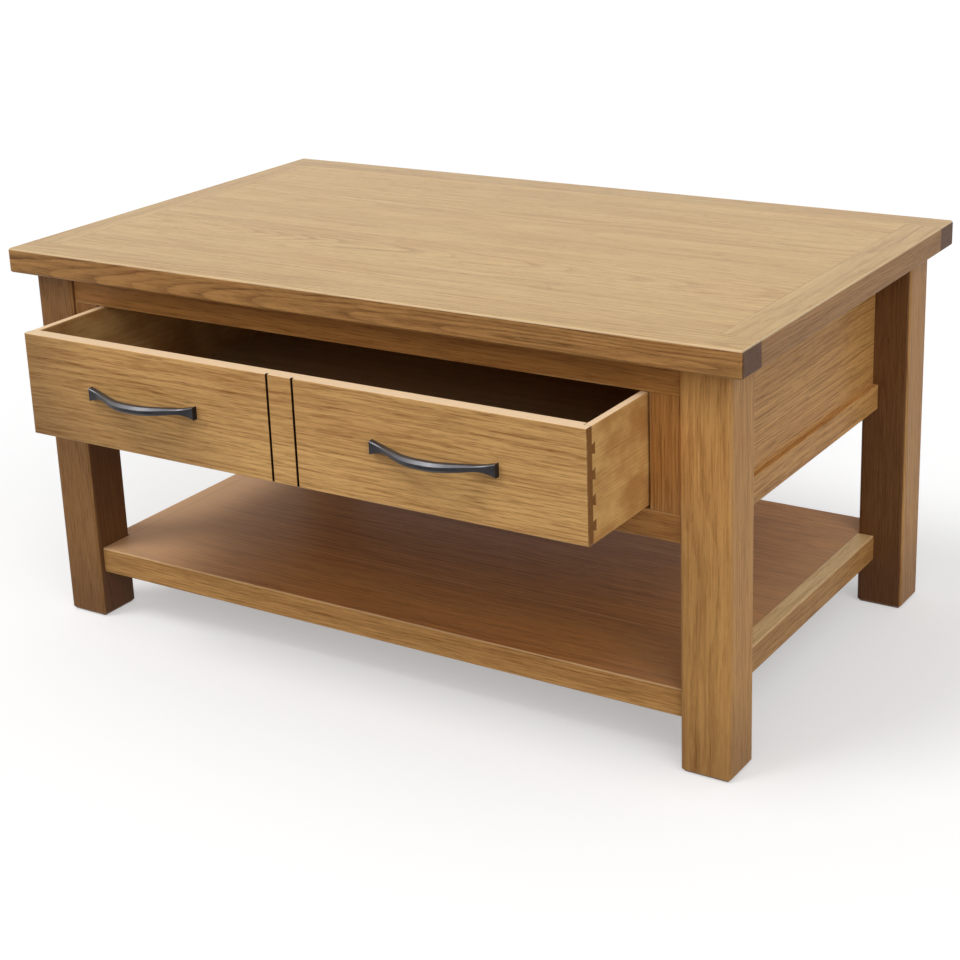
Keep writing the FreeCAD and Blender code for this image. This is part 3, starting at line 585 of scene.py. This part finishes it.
    def groove_shade(self):
        """How much painted shade lies in the two grooves of the drawer front: one inside them."""
        shader = self.shader
        behind = shader.math("SUBTRACT", self.place[Y_AXIS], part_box(self.node)[0][Y_AXIS])
        deep = shader.steps(behind, GROOVE_EDGE, 2 * GROOVE_EDGE)
        shallow = shader.fading(behind, GROOVE_DEPTH, GROOVE_DEPTH + GROOVE_EDGE)
        aside = shader.math("SUBTRACT", shader.math("ABSOLUTE", self.place[X_AXIS]), GROOVE_PLACE)
        near = shader.fading(shader.math("ABSOLUTE", aside), GROOVE_HALF, GROOVE_HALF + GROOVE_EDGE)
        return shader.product(deep, shallow, near)

    def joints(self):
        """How dark the lines are where the board ends against another."""
        shader = self.shader
        start, stop = grain_ends(self.node, self.grain)
        left = shader.math("SUBTRACT", self.place[self.grain], start)
        right = shader.math("SUBTRACT", stop, self.place[self.grain])
        line = shader.fading(shader.math("MINIMUM", left, right), 0.0, JOINT_LINE)
        return shader.product(line, shader.math("SUBTRACT", 1.0, self.end), LINE_SHARE)

    def material(self):
        """The finished surface, with less lacquer on its ends."""
        shader = self.shader
        colour = self.worn_lit_and_shaded(self.face())
        level, upright = self.level, self.upright
        base = shader.total((self.standing, upright.rough - level.rough), level.rough)
        streak, pore = (self.streak, ROUGH_STREAK_SHARE), (self.pore, ROUGH_PORE_SHARE)
        rough = shader.total(streak, pore, base, ROUGH_START)
        lacquer = shader.total((self.standing, upright.lacquer - level.lacquer), level.lacquer)
        lacquer = shader.product(lacquer, shader.math("SUBTRACT", 1.0, self.end))
        streak, dash = (self.streak, HEIGHT_STREAK_SHARE), (self.dash, HEIGHT_DASH_SHARE)
        height = shader.total(streak, dash, (self.pore, HEIGHT_PORE_SHARE))
        coat = {"Coat Weight": lacquer, "Coat Roughness": LACQUER_ROUGH, "Coat IOR": LACQUER_IOR}
        return shader.surface(colour, rough, height, GRAIN_DEPTH, IOR=WOOD_IOR, **coat)


def speckle(shader, repeats):
    """Fine grit, as repeats per metre."""
    place = (shader.product(part, repeats) for part in shader.split("Object"))
    return shader.noise(shader.vector(*place), GRIT_DETAIL)


def iron():
    """Dark satin iron, with a painted paler top and a painted highlight along its upper edge."""
    shader = Shader("dark_iron")
    rise = shader.split("Normal")[Z_AXIS]
    cloud = speckle(shader, IRON_CLOUD)
    colour = shader.mix(shader.steps(cloud, *IRON_CLOUD_STEPS), DARK_IRON, GREY_IRON)
    # Painted light: paler upward faces, then a painted highlight on the upper bevel
    lit_top = shader.product(shader.steps(rise, *IRON_LIT_TOP_STEPS), IRON_LIT_TOP_SHARE)
    colour = shader.mix(lit_top, colour, LIT_TOP_IRON)
    lowest, low, high, highest = IRON_HIGHLIGHT_STEPS
    rising, level = shader.steps(rise, lowest, low), shader.fading(rise, high, highest)
    colour = shader.mix(shader.product(rising, level, IRON_HIGHLIGHT_SHARE), colour, HIGHLIGHT_IRON)
    rough = shader.total((cloud, IRON_ROUGH_SHARE), IRON_ROUGH)
    return shader.surface(colour, rough, speckle(shader, IRON_GRIT), GRIT_DEPTH, Metallic=IRON_METALLIC)


def steel():
    """Plain screw steel."""
    shader = Shader("screw_steel")
    grit = speckle(shader, STEEL_GRIT)
    colour = shader.mix(grit, DARK_STEEL, PALE_STEEL)
    rough = shader.total((grit, STEEL_ROUGH_SHARE), STEEL_ROUGH)
    return shader.surface(colour, rough, grit, GRIT_DEPTH, Metallic=STEEL_METALLIC)


def woods_of(node):
    """The finish of a wooden node's level faces, and that of its upright ones."""
    if node.startswith("top_"):
        return TOP_OAK, EDGE_OAK
    if node.startswith("shelf_"):
        return (LIT_RAIL_OAK if node == "shelf_right_rail" else SHELF_OAK), OAK
    if node.endswith(INNER):
        return INNER_OAK, INNER_OAK
    if node in ("drawer_back", "drawer_bottom"):
        return DEEP_OAK, DEEP_OAK
    if node in MOTTLED:
        return DRAWER_OAK, DRAWER_OAK
    if node == "drawer_front":
        return FRONT_OAK, FRONT_OAK
    if node.startswith("front_"):
        return SHADED_FRAME_OAK, SHADED_FRAME_OAK
    return (LEG_OAK, LEG_OAK) if node.startswith("leg_") else (OAK, OAK)


def dress_all():
    """Gives every node its material."""
    metals = {"pull": iron(), "screws": steel()}
    for seed, (node, obj) in enumerate(sorted(frame["nodes"].items()), start=1):
        material = metals.get(node.split("_")[-1])
        if material is None:
            material = Board(node, *woods_of(node), seed).material()
        obj.data.materials.clear()
        obj.data.materials.append(material)


def seen_directly(add, link):
    """One for camera, glossy and transmission rays, in a node tree."""
    path = add("ShaderNodeLightPath")
    seen = path.outputs["Is Camera Ray"]
    for name in ("Is Glossy Ray", "Is Transmission Ray"):
        larger = add("ShaderNodeMath")
        larger.operation = "MAXIMUM"
        link(seen, larger.inputs[0])
        link(path.outputs[name], larger.inputs[1])
        seen = larger.outputs[0]
    return seen


def floor():
    """A pale floor that shows white where it is fully lit and keeps the shadow."""
    mesh = bpy.data.meshes.new("floor")
    corners = [(x * FLOOR_REACH, y * FLOOR_REACH, 0.0) for x, y in ((-1, -1), (1, -1), (1, 1), (-1, 1))]
    mesh.from_pydata(corners, [], [range(len(corners))])
    obj = bpy.data.objects.new("floor", mesh)
    bpy.context.scene.collection.objects.link(obj)
    shader = Shader("floor_white")
    seen = seen_directly(shader.add, shader.tree.links.new)
    matt = shader.add("ShaderNodeBsdfDiffuse")
    white = shader.total((seen, FLOOR_WHITE - FLOOR_BOUNCE), FLOOR_BOUNCE)
    shader.put(matt.inputs["Color"], shader.vector(white, white, white))
    glow = shader.add("ShaderNodeEmission")
    shader.put(glow.inputs["Strength"], shader.product(seen, FLOOR_GLOW))
    both = shader.add("ShaderNodeAddShader")
    shader.put(both.inputs[0], matt.outputs[0])
    shader.put(both.inputs[1], glow.outputs[0])
    shader.put(shader.output.inputs["Surface"], both.outputs[0])
    mesh.materials.append(shader.material)


def world():
    """A soft white surround, seen as white."""
    surround = bpy.data.worlds.new("studio")
    bpy.context.scene.world = surround
    surround.use_nodes = True
    tree = surround.node_tree
    tree.nodes.clear()
    background = tree.nodes.new("ShaderNodeBackground")
    background.inputs["Color"].default_value = WHITE
    output = tree.nodes.new("ShaderNodeOutputWorld")
    strength = tree.nodes.new("ShaderNodeMapRange")
    strength.inputs["To Min"].default_value = AMBIENT
    tree.links.new(seen_directly(tree.nodes.new, tree.links.new), strength.inputs["Value"])
    tree.links.new(strength.outputs["Result"], background.inputs["Strength"])
    tree.links.new(background.outputs[0], output.inputs["Surface"])


def sun(name, light):
    """A sun lamp."""
    lamp = bpy.data.lights.new(name, "SUN")
    lamp.energy = light.strength
    lamp.angle = math.radians(light.spread)
    obj = bpy.data.objects.new(name, lamp)
    obj.rotation_mode = "QUATERNION"
    obj.rotation_quaternion = Vector(light.source).to_track_quat("Z", "Y")
    bpy.context.scene.collection.objects.link(obj)


def camera():
    """The photograph's camera."""
    data = bpy.data.cameras.new("camera")
    data.lens = CAMERA_LENS
    data.sensor_width = CAMERA_SENSOR
    data.shift_y = CAMERA_SHIFT_Y
    obj = bpy.data.objects.new("camera", data)
    place = Matrix.Translation(CAMERA_PLACE)
    for turn, axis in zip(CAMERA_TURNS, "ZXZ"):
        place = place @ Matrix.Rotation(math.radians(turn), MATRIX_SIZE, axis)
    obj.matrix_world = place
    bpy.context.scene.collection.objects.link(obj)
    bpy.context.scene.camera = obj


dress_all()
floor()
world()
for name, light in LIGHTS.items():
    sun(name, light)
camera()
bpy.context.scene.view_settings.view_transform = "Standard"
